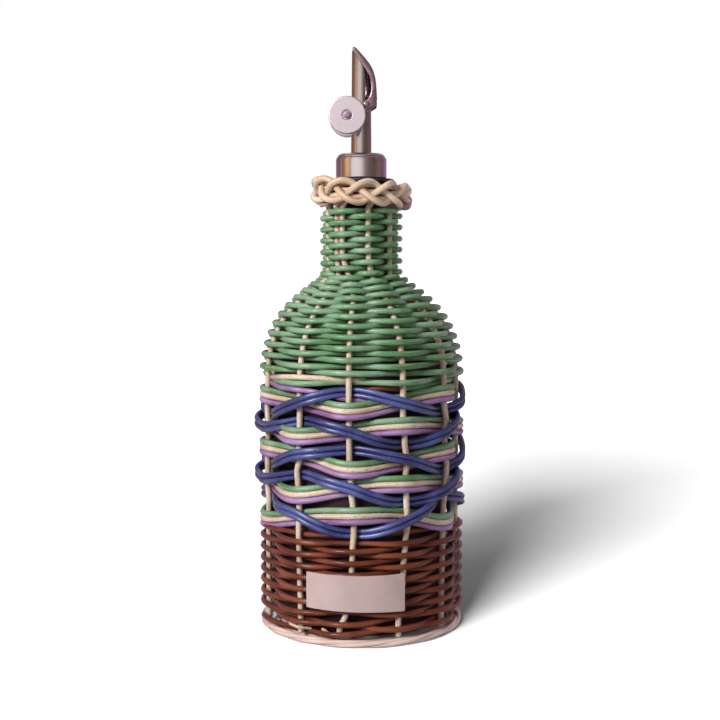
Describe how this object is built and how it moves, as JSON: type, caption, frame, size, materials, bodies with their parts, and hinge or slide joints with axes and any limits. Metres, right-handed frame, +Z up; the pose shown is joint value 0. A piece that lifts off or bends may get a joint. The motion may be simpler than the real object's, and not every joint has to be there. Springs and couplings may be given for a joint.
{
  "type": "oil bottle",
  "caption": "Glass oil bottle in a woven cane jacket with coloured bands, and a steel pourer with a weighted flap that opens as it tips.",
  "frame": {"origin": "on the bottle's axis, on the plane that the base stands on", "axes": "+Z up along the bottle's axis; the label faces -Y; the spout pours towards +X"},
  "size_m": [0.0825, 0.0839, 0.2291],
  "materials": {
    "green_strand": "dyed cane strand, satin",
    "cream_strand": "natural cane strand, satin",
    "purple_strand": "dyed cane strand, satin",
    "blue_strand": "dyed cane strand, satin",
    "brown_strand": "dyed cane strand, glossy",
    "pink_strand": "natural cane strand with a pink tint",
    "label_hide": "plain pinkish hide plate, nothing printed on it",
    "dark_glass": "very dark green bottle glass",
    "black_rubber": "black stopper rubber",
    "steel": "polished stainless steel",
    "pale_steel": "fine-brushed steel discs"
  },
  "bodies": {
    "bottle": {"glass_bottle": "dark_glass", "base_disc": "pink_strand", "base_border_1": "pink_strand", "base_border_2": "pink_strand", "label_plate": "label_hide", "stake_01": "cream_strand", "stake_02": "cream_strand", "stake_03": "cream_strand", "stake_04": "cream_strand", "stake_05": "cream_strand", "stake_06": "cream_strand", "stake_07": "cream_strand", "stake_08": "cream_strand", "stake_09": "cream_strand", "stake_10": "cream_strand", "stake_11": "cream_strand", "green_weaver": "green_strand", "brown_weaver": "brown_strand", "green_band_1": "green_strand", "cream_band_1": "cream_strand", "purple_band_1": "purple_strand", "green_band_2": "green_strand", "cream_band_2": "cream_strand", "purple_band_2": "purple_strand", "green_band_3": "green_strand", "cream_band_3": "cream_strand", "purple_band_3": "purple_strand", "green_band_4": "green_strand", "cream_band_4": "cream_strand", "purple_band_4": "purple_strand", "green_band_5": "green_strand", "cream_band_5": "cream_strand", "purple_band_5": "purple_strand", "blue_wave_1_upper": "blue_strand", "blue_wave_1_lower": "blue_strand", "blue_wave_2_upper": "blue_strand", "blue_wave_2_lower": "blue_strand", "blue_wave_3_upper": "blue_strand", "blue_wave_3_lower": "blue_strand", "blue_wave_4_upper": "blue_strand", "blue_wave_4_lower": "blue_strand", "blue_wave_5_upper": "blue_strand", "blue_wave_5_lower": "blue_strand", "rim_strand_1": "cream_strand", "rim_strand_2": "cream_strand", "rim_strand_3": "cream_strand"},
    "pourer": {"stopper": "black_rubber", "collar": "steel", "spout_tube": "steel", "vent_tube": "steel", "hinge_stud_near": "steel", "hinge_stud_far": "steel"},
    "flap": {"flap": "steel", "weight_pin": "steel", "weight_near": "pale_steel", "weight_far": "pale_steel"}
  },
  "joints": [
    {"name": "pourer_lift", "type": "slide", "parent": "bottle", "child": "pourer", "axis": [0, 0, 1], "range_m": [0, 0.036]},
    {"name": "flap_hinge", "type": "hinge", "parent": "pourer", "child": "flap", "pos_m": [0.0021, 0, 0.206], "axis": [0, 1, 0], "range_deg": [0, 60]}
  ]
}
